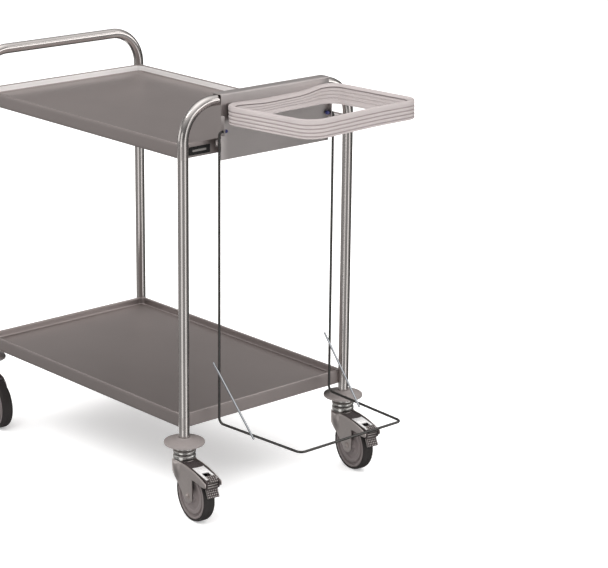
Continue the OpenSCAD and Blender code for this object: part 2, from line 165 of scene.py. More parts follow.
def circle(r, sides):
    """Points of a circle about the origin."""
    return [(r * math.cos(2 * math.pi * k / sides), r * math.sin(2 * math.pi * k / sides))
            for k in range(sides)]


def arc(cx, cy, r, start, end, steps):
    """Points of an arc about (cx, cy), between two angles in degrees."""
    turns = [math.radians(start + (end - start) * k / steps) for k in range(steps + 1)]
    return [(cx + r * math.cos(a), cy + r * math.sin(a)) for a in turns]


def between(a, b, steps):
    """The points that part the line from a to b into equal steps, without its ends."""
    a, b = Vector(a), Vector(b)
    return [tuple(a.lerp(b, k / steps)) for k in range(1, steps)]


def rounded_loop(x0, y0, x1, y1, r, arc_steps=12, side_steps=12):
    """Counter-clockwise rounded rectangle with the same point count at every size."""
    arcs = [arc(cx, cy, r, start, start + 90, arc_steps) for cx, cy, start in (
        (x1 - r, y0 + r, -90), (x1 - r, y1 - r, 0), (x0 + r, y1 - r, 90), (x0 + r, y0 + r, 180))]
    out = []
    for i, points in enumerate(arcs):
        out += points + between(points[-1], arcs[(i + 1) % 4][0], side_steps)
    return out


def smooth(t):
    """Smoothstep of t held to 0..1."""
    t = max(0.0, min(1.0, t))
    return t * t * (3 - 2 * t)


# -------- meshes

class Shape:
    """Vertices and faces in millimetres, with texture places (metres) for each face corner."""

    def __init__(self):
        self.verts, self.faces, self.uvs, self.slots = [], [], [], []

    def add(self, other, move=None):
        """Takes in another shape, moved by the function move(x, y, z)."""
        start = len(self.verts)
        self.verts += [move(*v) if move else v for v in other.verts]
        self.faces += [[start + i for i in f] for f in other.faces]
        self.uvs += other.uvs
        self.slots += other.slots
        return self

    def moved(self, move):
        return Shape().add(self, move)

    def face(self, corners, uvs=None, slot=0):
        self.faces.append(list(corners))
        self.uvs.append(uvs)
        self.slots.append(slot)


def rings_shape(rings, joined=False, cap="fan", across=False, slot=0):
    """Skin over rings of equal point counts. joined links the last ring to the first; cap is
    fan, flat or None. The texture runs along the rings, or across them."""
    shape = Shape()
    n = len(rings[0])
    start_at = []
    for ring in rings:
        start_at.append(len(shape.verts))
        shape.verts += [tuple(p) for p in ring]
    longest = max(range(len(rings)), key=lambda i: sum(
        (Vector(rings[i][j]) - Vector(rings[i][j - 1])).length for j in range(n)))
    u = [0.0]
    for j in range(n):
        u.append(u[-1] + (Vector(rings[longest][(j + 1) % n]) - Vector(rings[longest][j])).length)
    v = [0.0]
    for i in range(1, len(rings) + 1):
        a, b = rings[i - 1], rings[i % len(rings)]
        v.append(v[-1] + max((Vector(a[j]) - Vector(b[j])).length for j in range(0, n, 4)))

    def at(i, j):
        return (v[i] * MM, u[j] * MM) if across else (u[j] * MM, v[i] * MM)

    for i in range(len(rings) if joined else len(rings) - 1):
        p, q = start_at[i], start_at[(i + 1) % len(rings)]
        for j in range(n):
            k = (j + 1) % n
            shape.face([p + j, p + k, q + k, q + j],
                       [at(i, j), at(i, j + 1), at(i + 1, j + 1), at(i + 1, j)], slot)
    if not joined and cap:
        for i, flip in ((0, True), (len(rings) - 1, False)):
            ids = [start_at[i] + j for j in range(n)]
            if cap == "flat":
                shape.face(ids[::-1] if flip else ids, None, slot)
                continue
            centre = sum((Vector(p) for p in rings[i]), Vector((0, 0, 0))) / n
            shape.verts.append(tuple(centre))
            c = len(shape.verts) - 1
            for j in range(n):
                a, b = ids[j], ids[(j + 1) % n]
                shape.face([b, a, c] if flip else [a, b, c], None, slot)
    return shape


def lathe(profile, segments):
    """Turns a closed profile of (radius, height) about Z."""
    rings = [[(x, y, z) for x, y in circle(r, segments)] for r, z in profile]
    return rings_shape(rings, joined=True)


def sweep(path, r):
    """Skins a round rod or tube of radius r along a path of points."""
    section = circle(r, 24 if r < 6 else 48)
    points = [Vector(p) for p in path]
    side = Vector((1, 0, 0))
    rings = []
    for i, p in enumerate(points):
        ahead = points[min(i + 1, len(points) - 1)] - p
        behind = p - points[max(i - 1, 0)]
        along = (ahead.normalized() + behind.normalized()).normalized()
        side = (side - along * side.dot(along)).normalized()
        up = along.cross(side)
        rings.append([tuple(p + side * a + up * b) for a, b in section])
    return rings_shape(rings, across=True)


def arc_points(centre, start, axis, angle, steps):
    """Points from start, turned about axis through centre by angle degrees."""
    c, s = Vector(centre), Vector(start) - Vector(centre)
    return [
        tuple(c + Matrix.Rotation(math.radians(angle * k / steps), 3, Vector(axis)) @ s)
        for k in range(steps + 1)
    ]


def prism(outline, low, high, slot=0):
    """Extrudes an (x, y) outline from z = low to high."""
    rings = [[(x, y, z) for x, y in outline] for z in (low, high)]
    return rings_shape(rings, cap="flat", slot=slot)


def holed_prism(outline, hole, low, high):
    """Extrudes the band between an outline and a hole with the same point count."""
    rings = [
        [(x, y, low) for x, y in outline], [(x, y, high) for x, y in outline],
        [(x, y, high) for x, y in hole], [(x, y, low) for x, y in hole],
    ]
    return rings_shape(rings, joined=True)


def filled(outline, pitch, lift):
    """Triangle sheet inside an (x, y) outline; lift(x, y) gives each vertex its place."""
    n = len(outline)
    edge = [Vector(p) for p in outline]
    xs, ys = [p.x for p in edge], [p.y for p in edge]
    inner = []
    row, y = 0, min(ys) + pitch / 2
    while y < max(ys):
        x = min(xs) + (pitch / 2 if row % 2 else 0)
        while x < max(xs):
            p = Vector((x, y))
            if inside(p, edge) and min((p - q).length for q in edge) > 0.7 * pitch:
                inner.append(p)
            x += pitch
        y += pitch * 0.87
        row += 1
    made = delaunay_2d_cdt(edge + inner, [(i, (i + 1) % n) for i in range(n)], [], 1, 1e-5)
    shape = Shape()
    shape.verts = [tuple(lift(p.x, p.y)) for p in made[0]]
    for f in made[2]:
        shape.face(f, [(made[0][i].x * MM, made[0][i].y * MM) for i in f])
    return shape


def inside(p, edge):
    """Whether point p lies inside a closed outline of vectors."""
    hit = False
    for i, b in enumerate(edge):
        a = edge[i - 1]
        if (a.y > p.y) != (b.y > p.y) and p.x < (b.x - a.x) * (p.y - a.y) / (b.y - a.y) + a.x:
            hit = not hit
    return hit


def close_points(outline, pitch):
    """The outline with points added, so that none are further apart than pitch."""
    out = []
    for i, p in enumerate(outline):
        after = outline[(i + 1) % len(outline)]
        parts = max(1, math.ceil(math.dist(p, after) / pitch))
        out += [p] + between(p, after, parts)
    return out


def turned(angle, axis, shift=(0, 0, 0)):
    """A move that turns by angle degrees about an axis letter, and then shifts."""
    m = Matrix.Rotation(math.radians(angle), 3, axis)
    s = Vector(shift)
    return lambda x, y, z: tuple(m @ Vector((x, y, z)) + s)


WELD_REACH = 1e-6
BEVEL_FROM = math.radians(40)


def build(name, shape, materials, slot, node, bevel=0, thick=0, sharp=35):
    """Makes a piece that stands for the named CAD node, and lets it ride on its body.
    A face without texture places gets them from the two axes that it lies along."""
    mesh = bpy.data.meshes.new(name)
    mesh.from_pydata([tuple(c * MM for c in v) for v in shape.verts], [], shape.faces)
    layer = mesh.uv_layers.new(name="grain")
    for face, uvs in zip(mesh.polygons, shape.uvs):
        normal = face.normal
        for k, corner in enumerate(face.loop_indices):
            if uvs:
                layer.data[corner].uv = uvs[k]
                continue
            x, y, z = mesh.vertices[mesh.loops[corner].vertex_index].co
            axis = max(range(3), key=lambda i: abs(normal[i]))
            layer.data[corner].uv = [(y, z), (x, z), (x, y)][axis]
    for m in materials if isinstance(materials, list) else [materials]:
        mesh.materials.append(m)
    for face, s in zip(mesh.polygons, shape.slots):
        face.material_index = s
    piece = bpy.data.objects.new(name, mesh)
    bpy.context.scene.collection.objects.link(piece)
    weld = piece.modifiers.new("weld", "WELD")
    weld.merge_threshold = WELD_REACH
    if thick:
        skin = piece.modifiers.new("thick", "SOLIDIFY")
        skin.thickness, skin.offset, skin.use_even_offset = thick * MM, -1, True
    if bevel:
        soft = piece.modifiers.new("bevel", "BEVEL")
        soft.width, soft.segments = bevel * MM, 2
        soft.limit_method, soft.angle_limit = "ANGLE", BEVEL_FROM
    graph = bpy.context.evaluated_depsgraph_get()
    final = bpy.data.meshes.new_from_object(piece.evaluated_get(graph))
    piece.modifiers.clear()
    piece.data = final
    final.name = name
    final.polygons.foreach_set("use_smooth", [True] * len(final.polygons))
    final.set_sharp_from_angle(angle=math.radians(sharp))
    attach(piece, frame["nodes"][node]["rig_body"])
    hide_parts(node)


# -------- materials

def put(tree, kind, inputs=None, **settings):
    """Adds a shader node; an input is a value or another node's output."""
    made = tree.nodes.new("ShaderNode" + kind)
    for key, value in settings.items():
        setattr(made, key, value)
    for key, value in (inputs or {}).items():
        if isinstance(value, bpy.types.NodeSocket):
            tree.links.new(value, made.inputs[key])
        else:
            made.inputs[key].default_value = value
    return made


def linear(r, g, b):
    """A colour given as 0-255 display values, in linear light."""
    return tuple(((c / 255 + 0.055) / 1.055) ** 2.4 if c > 10 else c / 3295 for c in (r, g, b)) + (1,)


def shade(colour, k):
    return tuple(c * k for c in colour[:3]) + (1,)


def ramp(tree, fac, stops):
    made = put(tree, "ValToRGB", {"Fac": fac})
    elements = made.color_ramp.elements
    while len(elements) < len(stops):
        elements.new(0.5)
    for element, (place, value) in zip(elements, stops):
        element.position = place
        element.color = value if hasattr(value, "__len__") else (value, value, value, 1)
    return made.outputs["Color"]


def mapped(tree, source, scale):
    return put(tree, "Mapping", {"Vector": source, "Scale": scale}).outputs["Vector"]


def noise(tree, vector, scale=1.0, detail=3.0, rough=0.55):
    return put(tree, "TexNoise", {
        "Vector": vector, "Scale": scale, "Detail": detail, "Roughness": rough}).outputs["Fac"]


def spread(tree, value, low, high, start=0.3, end=0.7, kind="LINEAR"):
    """Maps a value from start..end onto low..high."""
    return put(tree, "MapRange", {
        "Value": value, "From Min": start, "From Max": end, "To Min": low, "To Max": high},
        interpolation_type=kind).outputs["Result"]


def maths(tree, operation, a, b):
    return put(tree, "Math", {0: a, 1: b}, operation=operation).outputs[0]


def new_material(name):
    material = bpy.data.materials.new(name)
    material.use_nodes = True
    material.node_tree.nodes.clear()
    return material, material.node_tree


def finish_material(tree, inputs, height=None, strength=0.0, depth=0.0):
    """Principled surface, with a bump of the given depth in millimetres if it has a height."""
    if height:
        bump = put(tree, "Bump", {"Height": height, "Strength": strength, "Distance": depth * MM})
        inputs["Normal"] = bump.outputs["Normal"]
    shader = put(tree, "BsdfPrincipled", inputs)
    out = put(tree, "OutputMaterial")
    tree.links.new(shader.outputs["BSDF"], out.inputs["Surface"])


# Fineness of a metal's lines along and across them, for each metre
BRUSHED = (7, 1300)
TUMBLED = (160, 160)
PLASTIC_GRAIN_DEPTH = 0.02


def metal(name, colour, rough, grain=(14, 1500), grain_depth=0.004, smudge=0.06, tone=0.06,
          metallic=1.0):
    """Ground or drawn metal: fine lines along the texture's first direction, faint handling
    marks, and a slight change of tone from place to place."""
    material, tree = new_material(name)
    uv = put(tree, "UVMap", uv_map="grain").outputs["UV"]
    place = put(tree, "TexCoord").outputs["Object"]
    lines = noise(tree, mapped(tree, uv, (grain[0], grain[1], 1)), 1.0, 4.0, 0.6)
    marks = noise(tree, place, 17.0, 4.0, 0.6)
    broad = noise(tree, place, 4.5, 2.0, 0.5)
    half = maths(tree, "MULTIPLY", maths(tree, "ADD", lines, broad), 0.5)
    base = ramp(tree, half, [(0.35, shade(colour, 1 - tone)), (0.65, shade(colour, 1 + tone))])
    even = spread(tree, marks, rough - smudge / 2, rough + smudge / 2)
    fine = spread(tree, lines, -0.03, 0.03)
    roughness = maths(tree, "ADD", even, fine)
    finish_material(tree, {"Base Color": base, "Metallic": metallic, "Roughness": roughness},
                    lines, 0.35, grain_depth)
    return material


def plastic(name, colour, rough, grain=900, tone=0.05, specular=0.5, subsurface=0.0, scuffs=0.0):
    """Moulded plastic or rubber: fine spark-eroded grain, soft mottling and light scuffs."""
    material, tree = new_material(name)
    place = put(tree, "TexCoord").outputs["Object"]
    fine = noise(tree, place, grain, 2.0, 0.5)
    broad = noise(tree, place, 12.0, 3.0, 0.55)
    base = ramp(tree, broad, [(0.3, shade(colour, 1 - tone)), (0.7, shade(colour, 1 + tone))])
    if scuffs:
        worn = noise(tree, mapped(tree, place, (60, 60, 260)), 1.0, 5.0, 0.7)
        mask = spread(tree, worn, 0.0, scuffs, 0.58, 0.72)
        base = tint_mix(tree, mask, base, shade(colour, 0.62))
    roughness = spread(tree, broad, rough - 0.05, rough + 0.05)
    inputs = {"Base Color": base, "Roughness": roughness, "Specular IOR Level": specular}
    if subsurface:
        inputs |= {"Subsurface Weight": subsurface, "Subsurface Radius": (1.0, 0.9, 0.8),
                   "Subsurface Scale": 0.002}
    finish_material(tree, inputs, fine, 0.4, PLASTIC_GRAIN_DEPTH)
    return material


def tint_mix(tree, mask, a, b):
    """Colour a turning into colour b where the mask is 1."""
    return put(tree, "Mix", {0: mask, 6: a, 7: b}, data_type="RGBA").outputs[2]


TUBE = metal("tube_steel", (0.60, 0.57, 0.555, 1), 0.175, grain=(10, 900))
SHELF = metal("shelf_steel", (0.42, 0.375, 0.365, 1), 0.46, grain=BRUSHED, tone=0.035, smudge=0.035)
# Pale, partly diffuse steel for the upper tray's inner wall: a painted highlight
WALL_PAINTED_HIGHLIGHT = metal("tray_wall_painted_highlight", (0.86, 0.84, 0.83, 1), 0.4, grain=BRUSHED, metallic=0.35)
PLATE = metal("plate_steel", (0.545, 0.51, 0.503, 1), 0.46, grain=BRUSHED)
FORK = metal("fork_steel", (0.66, 0.605, 0.585, 1), 0.40, grain=TUMBLED, tone=0.06)
DULL = metal("dull_zinc", (0.44, 0.41, 0.395, 1), 0.36, grain=TUMBLED, tone=0.12)
# Pale, half-diffuse finish on the pedal deck: a painted reflection of the white studio
DECK_PAINTED_REFLECTION = metal("pedal_painted_reflection", (0.88, 0.87, 0.87, 1), 0.28, grain=(20, 600), metallic=0.38)
ZINC = metal("zinc_steel", (0.62, 0.62, 0.60, 1), 0.22, grain=(20, 700), grain_depth=0.001)
BRIGHT = metal("bright_zinc", (0.66, 0.69, 0.73, 1), 0.11, grain=(12, 500))
WIRE = metal("wire_steel", (0.10, 0.097, 0.094, 1), 0.28, grain=(12, 500))
# Near-black colour on caster recesses, webs, pedal rails and knurl valleys: painted shade
PAINTED_SHADE = plastic("painted_shade_dark", linear(58, 50, 50), 0.55)
BUMPER = plastic("bumper_plastic", linear(130, 123, 121), 0.42, tone=0.04, scuffs=0.35)
WHEEL = plastic("wheel_plastic", linear(110, 102, 101), 0.45, tone=0.05, scuffs=0.3)
TYRE = plastic("tyre_rubber", linear(36, 33, 32), 0.62, tone=0.14, specular=0.35, scuffs=0.5)
RING = plastic("ring_rubber", linear(167, 159, 158), 0.5, grain=700, tone=0.025, subsurface=0.1)
# Darker colour for the ring's grooves: painted shade in the grooves
GROOVE_SHADE = plastic("ring_groove_painted_shade", linear(143, 134, 133), 0.6, grain=700, tone=0.04)
PAD = plastic("grey_rubber", linear(150, 143, 141), 0.6)
RUBBER = plastic("dark_rubber", linear(52, 50, 50), 0.6)
BADGE = plastic("badge_plastic", linear(18, 17, 17), 0.3, tone=0.1)
STRIP = plastic("badge_strip", linear(112, 109, 107), 0.4)
CAP = plastic("cap_plastic", linear(34, 38, 88), 0.35)


# -------- frame and shelves

def frame_path(x):
    """Centre line of an end frame, from foot to foot over the handle."""
    y, z = half_y, handle_z
    low = z - bend_r
    first = arc_points((x, bend_r - y, low), (x, -y, low), (1, 0, 0), -90, 24)
    last = arc_points((x, y - bend_r, low), (x, y - bend_r, z), (1, 0, 0), -90, 24)
    feet = [(x, -y, foot_z), (x, y, foot_z)]
    up = feet[:1] + between(feet[0], first[0], 8)
    down = between(last[-1], feet[1], 8) + feet[1:]
    return up + first + between(first[-1], last[0], 6) + last + down


def end_frame(name, x, node):
    build(name, sweep(frame_path(x), tube_r), TUBE, "stainless_tube", node)


def shelf_loop(x0, x1, d, kind, r):
    """Loop round the shelf at inset d: notched at the legs, or with corners of radius r."""
    arc_steps, long_steps, short_steps = 12, 24, 14
    if kind == "notched":
        # about the leg's middle, which lies gap outside the shelf's end
        big = notch_r + d
        gap = front_x - x1
        start = math.atan2(-math.sqrt(big ** 2 - (gap + d) ** 2), -(gap + d))
        end = math.atan2(-d, -math.sqrt(big ** 2 - d ** 2))
        corner = arc(gap, 0, big, math.degrees(start), math.degrees(end), arc_steps)
    else:
        corner = arc(-d - r, -d - r, r, 0, 90, arc_steps)
    out = []
    for sx, sy in ((1, 1), (-1, 1), (-1, -1), (1, -1)):
        points = [((x1 + cx) if sx > 0 else (x0 - cx), sy * (half_y + cy)) for cx, cy in corner]
        out.append(points if sx * sy > 0 else points[::-1])
    loop = []
    for i, points in enumerate(out):
        steps = long_steps if i in (0, 2) else short_steps
        loop += points + between(points[-1], out[(i + 1) % 4][0], steps)
    return loop


def shelf(name, node, wall):
    """Tray with a hollow rolled rim and a returned hem, as one bent sheet. The upper part of its
    inner wall takes the material wall, which on the upper tray is pale as a painted highlight."""
    lo, hi = box(node)
    x0, x1, z0 = lo.x, hi.x, lo.z
    rim_h = hi.z - lo.z
    floor_z = rim_h - tray_depth
    panel = half_y - 12  # inset of the flat panel in the middle of the floor
    t = sheet_t

    def ring(d, z, kind="round", r=6.0):
        return [(x, y, z0 + z) for x, y in shelf_loop(x0, x1, d, kind, r)]

    edge = [(0, 2.0), (0.15, 1.2), (0.6, 0.6), (1.2, 0.15), (2.0, 0)]  # inset, drop
    notched = [(hem_w, t), (hem_w, 0.2), (hem_w - 0.2, 0)]
    notched += [(d, z) for z, d in edge]
    notched += [(0, 8), (0, 16), (0, 25)]
    notched += [(d, rim_h - drop) for d, drop in edge]
    top_in = [(rim_w - d, rim_h - drop) for d, drop in reversed(edge)]
    foot_r = 3.0
    foot = [
        (rim_w + foot_r - foot_r * math.cos(math.radians(a)),
         floor_z + foot_r - foot_r * math.sin(math.radians(a)))
        for a in (0, 22, 45, 68, 90)
    ]
    rings = [ring(d, z, "notched") for d, z in notched]
    rings += [ring(d, z, r=max(2.0, tray_corner_r + rim_w - d))
              for d, z in top_in + [(rim_w, floor_z + 9)] + foot]
    rings += [ring(d, floor_z) for d in (24, 60, 120, 190, panel)]
    below = [(panel, floor_z - t), (120, floor_z - t), (24, floor_z - t),
             (rim_w + 3, floor_z - t), (rim_w - t, floor_z - t + 3), (rim_w - t, rim_h - t)]
    under = [ring(d, z, r=9) for d, z in below]
    under += [ring(d, z, "notched") for d, z in ((t, rim_h - t), (t, t), (hem_w, t))]
    sides = len(rings[0])
    shape = rings_shape(rings, cap=None)
    last = len(shape.verts) - sides
    shape.face(range(last, last + sides))
    shape.add(rings_shape(under, cap=None))
    first = len(shape.verts) - sides * len(under)
    shape.face(reversed(range(first, first + sides)))
    shape.uvs = [None] * len(shape.faces)
    # The upper part of the inner wall takes the second material; on the upper tray that is a painted
    # highlight
    first_wall = len(notched) + len(top_in) - 1
    shape.slots[first_wall * sides:(first_wall + 2) * sides] = [1] * (2 * sides)
    build(name, shape, [SHELF, wall], "shelf_sheet", node, sharp=50)


def stiffener(name, node):
    """Channel spot-welded under the tray, with rounded bends."""
    lo, hi = box(node)
    y0, y1, z0, z1 = lo.y, hi.y, lo.z, hi.z
    t = sheet_t
    r = 2 * t
    outer = fillet([(y0, z1), (y0, z0, r), (y1, z0, r), (y1, z1)], closed=False)
    inner = fillet([(y1 - t, z1), (y1 - t, z0 + t, r - t), (y0 + t, z0 + t, r - t), (y0 + t, z1)],
                   closed=False)
    shape = prism(outer + inner, lo.x, hi.x).moved(lambda y, z, x: (x, y, z))
    build(name, shape, SHELF, "shelf_sheet", node, bevel=0.2)


def badge():
    """Plain black name plate with a raised rim and a blank light strip."""
    lo, hi = box("badge")
    y0, y1, z0, z1, x0 = lo.y, hi.y, lo.z, hi.z, lo.x
    depth = hi.x - lo.x
    field = depth * 0.65
    rings = []
    for inset, out in ((0, 0), (0, depth * 0.8), (0.3, depth), (1.2, depth), (1.6, field)):
        loop = rounded_loop(y0 + inset, z0 + inset, y1 - inset, z1 - inset, 2.2 - inset * 0.6, 5, 4)
        rings.append([(x0 + out, y, z) for y, z in loop])
    shape = rings_shape(rings, cap="flat")
    side, above = 11, 7.2  # margins of the strip
    strip = rounded_loop(y0 + side, z0 + above, y1 - side, z1 - above, 1.2, 4, 4)
    shape.add(prism(strip, 0, depth * 0.2, slot=1), lambda y, z, x: (x0 + field + x, y, z))
    build("name_plate", shape, [BADGE, STRIP], "badge_plastic", "badge")


# -------- casters

def on_axle(x, y, z):
    """Lays a shape made about Z onto the wheel axle of a caster that trails along X."""
    return (trail + x, -z, axle_z + y)


def caster_piece(corner, name, node, shape, materials, slot, **finish):
    """Builds a piece of the caster that stands at a corner, from one that trails along X."""
    lx, ly = LEG[corner]
    move = turned(math.degrees(trail_turn), "Z", (lx, ly, 0))
    build(f"{corner}_{name}", shape.moved(move), materials, slot, f"{corner}_{node}", **finish)


def bumper(corner):
    """Soft moulded disc round the foot of a leg, hollow underneath with ribs."""
    lo, hi = box(corner + "_bumper")
    r, low, top = (hi.x - lo.x) / 2, lo.z, hi.z
    rim_z = foot_z + 3
    outline = fillet([
        (tube_r + 0.1, top - 12), (tube_r + 0.1, top, 0.8), (tube_r + 3.4, top, 1.5),
        (19, top - 1.6, 6), (30, top - 3.4, 30), (r - 4.6, rim_z + 4.4, 3.0),
        (r, rim_z + 2.6, 2.2), (r, rim_z - 2.6, 2.2), (r - 4.5, rim_z - 4.6, 1.5),
        (r - 7, rim_z - 3.2, 1), (26, foot_z, 2), (22, foot_z, 1.2), (22, low, 0.8),
        (17, low, 0.5), (17, top - 12)], steps=5)
    shape = lathe(outline, 120)
    for k in range(8):
        rib = fillet([(21, foot_z - 3.4, 0.4), (r - 9, rim_z - 4.0, 0.8), (r - 9, rim_z, 0.3),
                      (21, foot_z + 2, 0.3)], steps=2)
        turn = turned(45 * k, "Z")
        shape.add(prism(rib, -0.8, 0.8), lambda x, z, y: turn(x, y, z))
    caster_piece(corner, "buffer_disc", "bumper", shape, BUMPER, "bumper_plastic", sharp=40)


def swivel_head(corner):
    """Pressed race cup with two bright rings; the recesses between and under them are coloured dark as
    painted shade.
    """
    segments = 96
    recesses = ((136.8, 138), (147.9, 150.4))
    recess_r = 23
    outline = fillet([
        (6.2, 141), (23.6, 141), (23.6, 136.4, 0.3), (24.6, 135.7, 0.3), (26.0, 136.2, 0.8),
        (26.9, 140.4, 1.6), (26.9, 145.2, 2.2), (24.9, 147.6, 0.8), (23.4, 148.2, 0.5),
        (23.4, 150.3, 0.5), (25.6, 150.9, 0.8), (27, 152.4, 1.4), (27, 156.2, 1.4),
        (25.2, 158, 1.2), (20.5, 158.4, 1.0), (19.6, 160.5, 0.8), (19.6, 163, 0.4), (6.2, 163)],
        steps=4)
    shape = lathe(outline, segments)
    # Faces in the recesses take the dark second material: painted shade
    shape.slots = [int(r > recess_r and any(low < z < high for low, high in recesses))
                   for r, z in outline for _ in range(segments)]
    caster_piece(corner, "race_cup", "swivel_head", shape, [ZINC, PAINTED_SHADE], "zinc_steel", sharp=40)


CROWN_R = 26.5
CROWN_FILLET = 4.5
CROWN_TOP = 135
CHEEK_Y = 20.0
FORK_SHEET = 2.5


def cheek_place(u, z):
    """Place on a fork cheek's outer face. u is the distance behind the swivel axis, and ahead
    of it the distance round the crown."""
    pull = 0.0
    crown_low = CROWN_TOP - CROWN_FILLET
    if z > crown_low:
        pull = CROWN_FILLET - math.sqrt(max(0.0, CROWN_FILLET ** 2 - (z - crown_low) ** 2))
        pull *= 1 - smooth((u - 8) / 12)
    if u < 0:
        angle = -u / CROWN_R
        x, y = -CROWN_R * math.sin(angle), CROWN_R * math.cos(angle)
    else:
        x, y = u, math.sqrt(max(0.0, CROWN_R ** 2 - min(u, CROWN_R) ** 2))
        y = CHEEK_Y + 0.5 * ((y - CHEEK_Y) + math.sqrt((y - CHEEK_Y) ** 2 + 0.8))
    wide = smooth((z - 84) / 40)
    if y > CHEEK_Y:
        y = CHEEK_Y + (y - CHEEK_Y) * wide
    if u < 0:
        straight = smooth((118 - z) / 34)
        y = y + (CHEEK_Y - y) * straight * smooth((-u) / 18)
    length = math.hypot(x, y)
    return (x * (1 - pull / length), y * (1 - pull / length), z)


def cheek_outline(braked):
    """Edge of a fork cheek laid flat: round the crown, down to the hub and back up behind."""
    wrap = CROWN_R * math.pi / 2
    front = [(-wrap, 134.6), (-wrap, 114), (-wrap + 5, 112.6, 3), (-24, 108, 14), (-10, 97, 16),
             (3, 85, 16), (14, 76, 12), (27, 66.5, 8)]
    hub_r = 17.7
    hub = arc(trail, axle_z, hub_r, 205, 360, 14)
    if braked:
        back = [(67.8, 107.6, 4), (82, 108, 12), (112, 104.6, 20), (126.5, 105.4, 5),
                (128.4, 116.6, 4.5), (102, 124.8, 90), (75, 130.6, 90), (56, 133, 60), (40, 134.4, 60),
                (17, 134.8)]
    else:
        back = [(68, 100, 26), (62, 116, 16), (48, 128, 14), (24, 133.6, 20), (17, 134.6)]
    return fillet(front, 6, closed=False)[:-1] + hub + fillet(
        [hub[-1]] + back, 6, closed=False)[1:]


def fork_shape(braked):
    """Both cheeks of the pressed fork, drawn down from a round crown."""
    shape = filled(close_points(cheek_outline(braked), 2.4), 3.2, cheek_place)
    left = shape.moved(lambda x, y, z: (x, -y, z))
    left.faces = [f[::-1] for f in left.faces]
    left.uvs = [u[::-1] for u in left.uvs]
    return shape.add(left)


def fork_inner(braked):
    """Crown plate, and the toothed web between the cheeks, coloured dark as painted shade."""
    shape = lathe(fillet([(6.1, 129.2), (23.5, 129.2, 0.5), (23.5, 134.7, 0.8), (6.1, 134.7)], 4), 64)
    count, start, end, half_width = 12, 17, 57 if braked else 46, 17.6
    high, level_to, slope = 132.6, 20, 0.10
    teeth = []
    for k in range(count):
        x = start + k * (end - start) / count
        z = high - max(0, x - level_to) * slope
        teeth += [(x, z), (x + 1.2, z + 1.1), (x + 2.2, z + 1.1), (x + 2.6, z)]
    teeth += [(end, high - (end - level_to) * slope), (end, 127.5), (start, 130)]
    return shape.add(prism(teeth, -half_width, half_width, slot=1), lambda x, z, y: (x, -y, z))


def fork(corner):
    braked = corner in BRAKED
    caster_piece(corner, "fork_cheeks", "fork", fork_shape(braked), FORK, "fork_steel",
                 thick=FORK_SHEET, bevel=0.5, sharp=50)
    caster_piece(corner, "fork_crown", "fork", fork_inner(braked), [FORK, PAINTED_SHADE], "fork_steel",
                 bevel=0.3)


def axle(corner):
    """Axle sleeve and bolt with a chamfered hex nut at each end and a washer under it."""
    shape = lathe(fillet([(0.01, -17.4), (6, -17.4, 0.3), (6, 17.4, 0.3), (0.01, 17.4)], 3), 40)
    across_flats = 13
    hexagon = fillet([(x, y, 0.4) for x, y in circle(across_flats / math.sqrt(3), 6)], 2)
    for side in (-1, 1):
        nut = rings_shape([[(x * scale, y * scale, z) for x, y in hexagon]
                           for scale, z in ((1, 0), (1, 3.4), (0.9, 4.4))], cap="flat")
        nut.add(lathe(fillet([(0.01, -1.0), (9.5, -1.0), (9.5, 0.1, 0.3), (0.01, 0.1)], 3), 40))
        nut.add(lathe(fillet([(0.01, 4), (4, 4), (4, 6.0, 0.8), (0.01, 6.0)], 3), 32))
        shape.add(nut, lambda x, y, z: (x, side * y, side * (CHEEK_Y + 1.0 + z)))
    caster_piece(corner, "axle_bolt", "axle", shape.moved(on_axle), FORK, "zinc_steel", sharp=30)


def wheel(corner):
    """Moulded wheel core: lip, groove, dished disc and hub."""
    half = [(11.2, 16.5), (14.6, 16.5, 0.8), (16.8, 12.5, 2), (17.6, 9.4, 2), (20, 8.8, 1.5),
            (31, 8.8, 4), (35.5, 11.4, 3), (43.4, 12.4, 1), (45.0, 8.0, 1.2), (49.4, 8.0, 1.2),
            (50.8, 13.2, 1.0), (54.4, 14.0, 1.0), (56.4, 12.6, 0.5)]
    outline = fillet(half + [(r, -z, *k) for r, z, *k in reversed(half)], 4)
    shape = lathe(outline, 120).moved(on_axle)
    caster_piece(corner, "wheel_core", "wheel", shape, WHEEL, "wheel_plastic", sharp=40)


def tyre(corner):
    """Solid rubber tread with round shoulders and a fine parting line."""
    lo, hi = box(corner + "_tyre")
    r = (hi.z - lo.z) / 2
    bed = r - 6
    half = [(bed + 0.05, 12.2), (bed + 1.2, 14.4, 0.8), (bed + 3.0, 14.9, 1.6),
            (r - 1.6, 12.6, 3.4), (r - 0.05, 8.2, 4.5), (r, 3.0)]
    outline = fillet(half + [(r - 0.02, 0.35), (r - 0.28, 0.2), (r - 0.28, -0.2), (r - 0.02, -0.35)]
                     + [(q, -z, *k) for q, z, *k in reversed(half)], 5)
    shape = lathe(outline, 144).moved(on_axle)
    caster_piece(corner, "tread", "tyre", shape, TYRE, "tyre_rubber", sharp=40)


# -------- brake pedal

def on_slope(origin, angle):
    """A move onto a slope that falls by angle degrees from origin, a (distance behind the
    swivel axis, height): it takes the distance down the slope, across, and off it."""
    c, s = math.cos(math.radians(angle)), math.sin(math.radians(angle))
    return lambda a, y, h: (origin[0] + a * c + h * s, y, origin[1] - a * s + h * c)


